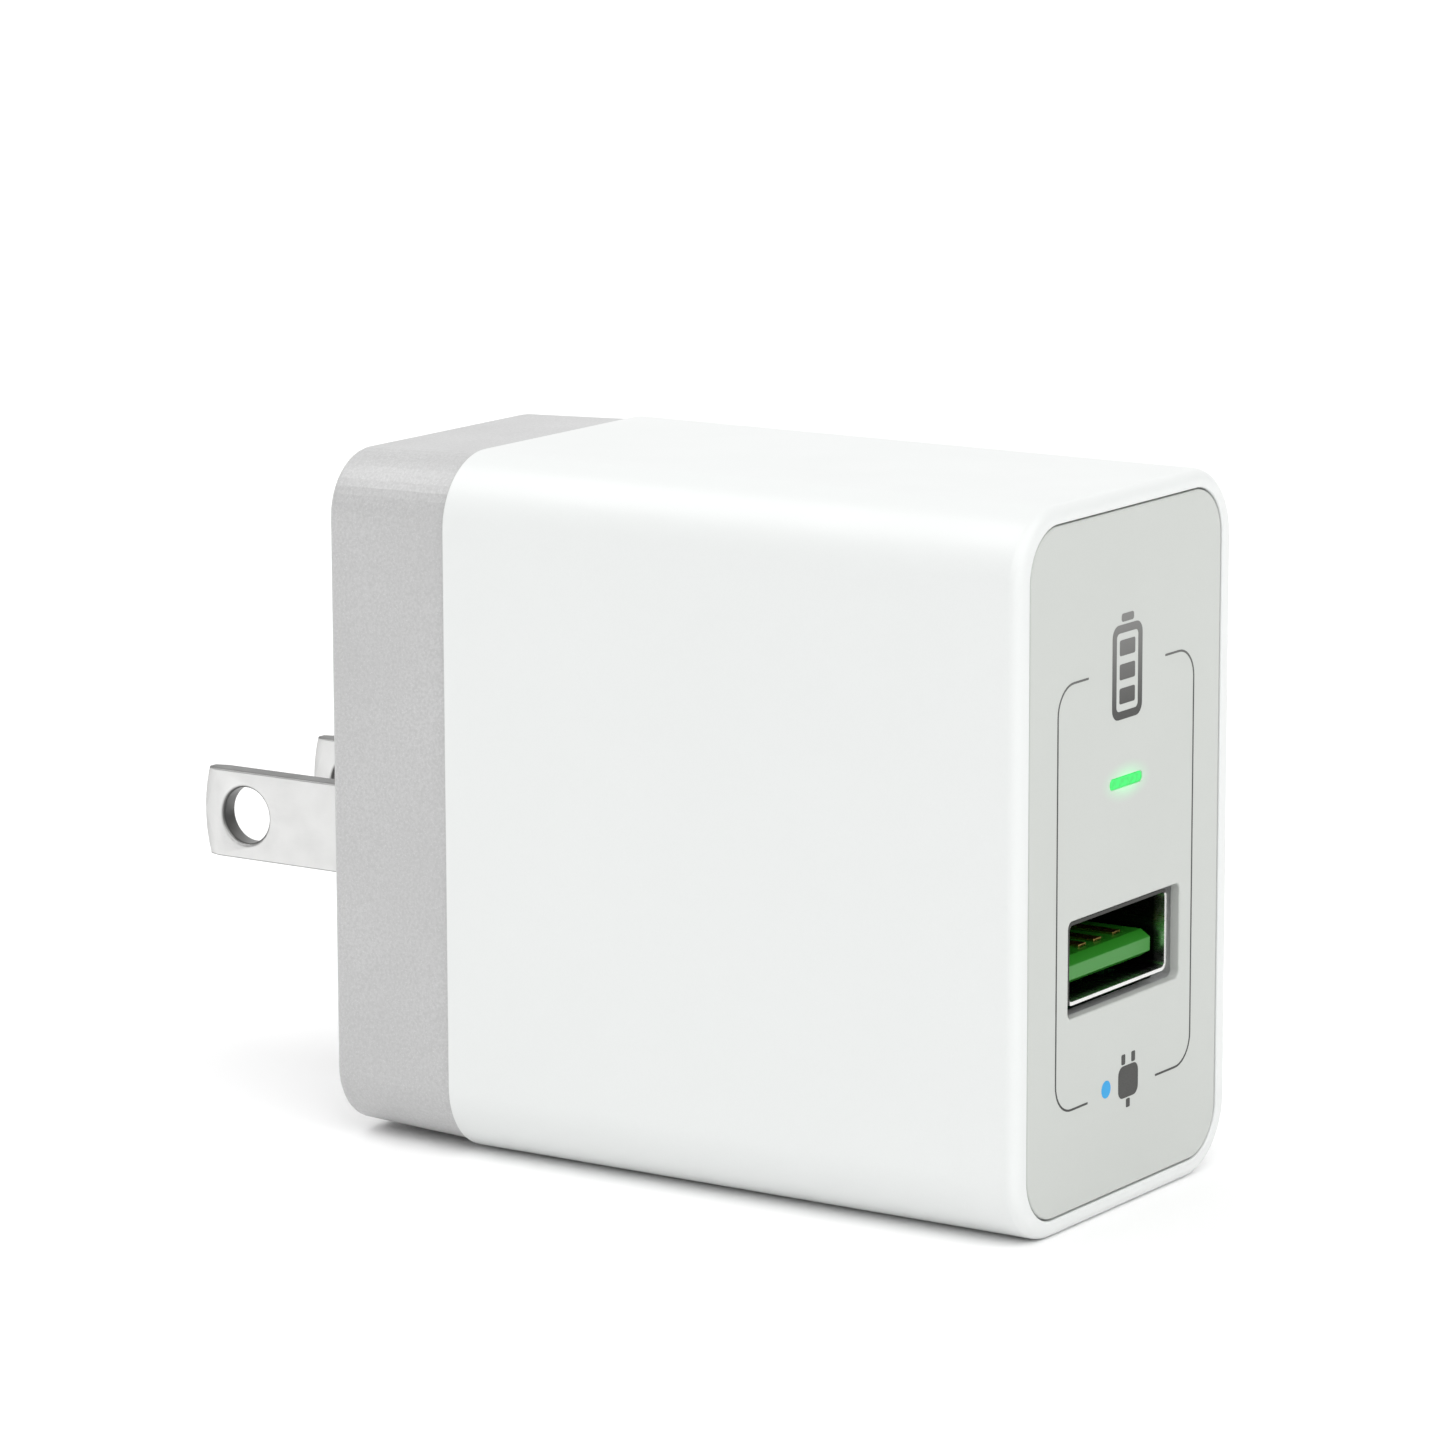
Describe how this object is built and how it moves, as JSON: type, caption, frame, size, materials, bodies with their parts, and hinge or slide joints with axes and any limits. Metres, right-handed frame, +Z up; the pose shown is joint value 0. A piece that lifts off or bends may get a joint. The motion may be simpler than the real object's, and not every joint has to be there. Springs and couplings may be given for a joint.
{
  "type": "usb wall charger",
  "caption": "Compact upright mains charger with a USB-A socket and status light in its face and flat blades that fold up into its rear cover.",
  "frame": {"origin": "middle of the flat base, half way along the casing", "axes": "+Z up, USB face towards -Y, blades towards +Y, X across the casing"},
  "size_m": [0.028, 0.0717, 0.0485],
  "materials": {
    "shell_white": "satin",
    "cover_grey": "matte",
    "face_grey": "satin",
    "clear_guide": "gloss",
    "led_resin": "gloss",
    "port_steel": "satin",
    "tongue_green": "satin",
    "contact_gold": "polished",
    "board_green": "satin",
    "chip_black": "matte",
    "ferrite": "matte",
    "bobbin_plastic": "satin",
    "winding_tape": "satin",
    "copper_wire": "gloss",
    "tinned_pin": "satin",
    "capacitor_sleeve": "satin",
    "capacitor_can": "satin",
    "fuse_brown": "gloss",
    "disc_green": "satin",
    "disc_blue": "gloss",
    "chip_tan": "satin",
    "spreader_aluminium": "satin",
    "pad_grey": "matte",
    "film_clear": "gloss",
    "blade_nickel": "satin",
    "carrier_plastic": "matte",
    "bracket_plastic": "satin",
    "screw_steel": "satin",
    "spring_bronze": "gloss",
    "spring_steel": "gloss",
    "wire_red": "satin",
    "wire_blue": "satin"
  },
  "bodies": {
    "casing": {"front_shell": "shell_white", "face_plate": "face_grey", "rear_cover": "cover_grey", "light_guide": "clear_guide", "indicator_led": "led_resin", "usb_shell": "port_steel", "usb_tongue": "tongue_green", "usb_contacts": "contact_gold", "usb_board": "board_green", "board_header": "tinned_pin", "charge_controller": "chip_black", "main_board": "board_green", "transformer_core": "ferrite", "transformer_bobbin": "bobbin_plastic", "transformer_winding": "winding_tape", "transformer_pins": "tinned_pin", "bulk_capacitors": "capacitor_sleeve", "output_capacitors": "capacitor_can", "choke_core": "ferrite", "choke_winding": "copper_wire", "fuse": "fuse_brown", "inrush_thermistor": "disc_green", "bridge_rectifier": "chip_black", "switching_transistor": "chip_black", "primary_controller": "chip_black", "optocoupler": "chip_black", "y_capacitor": "disc_blue", "sync_rectifier": "chip_black", "chip_resistors": "chip_black", "chip_capacitors": "chip_tan", "heat_spreader": "spreader_aluminium", "thermal_pad": "pad_grey", "insulating_sheet": "film_clear", "carrier_bracket": "bracket_plastic", "bracket_screws": "screw_steel", "live_contact": "spring_bronze", "neutral_contact": "spring_bronze", "detent_spring": "spring_steel", "live_lead": "wire_red", "neutral_lead": "wire_blue"},
    "plug": {"live_blade": "blade_nickel", "neutral_blade": "blade_nickel", "blade_carrier": "carrier_plastic"}
  },
  "joints": [
    {"name": "plug_fold", "type": "hinge", "parent": "casing", "child": "plug", "pos_m": [0, 0.0241, 0.0202], "axis": [1, 0, 0], "range_deg": [0, 90], "deforming": ["detent_spring"]}
  ]
}
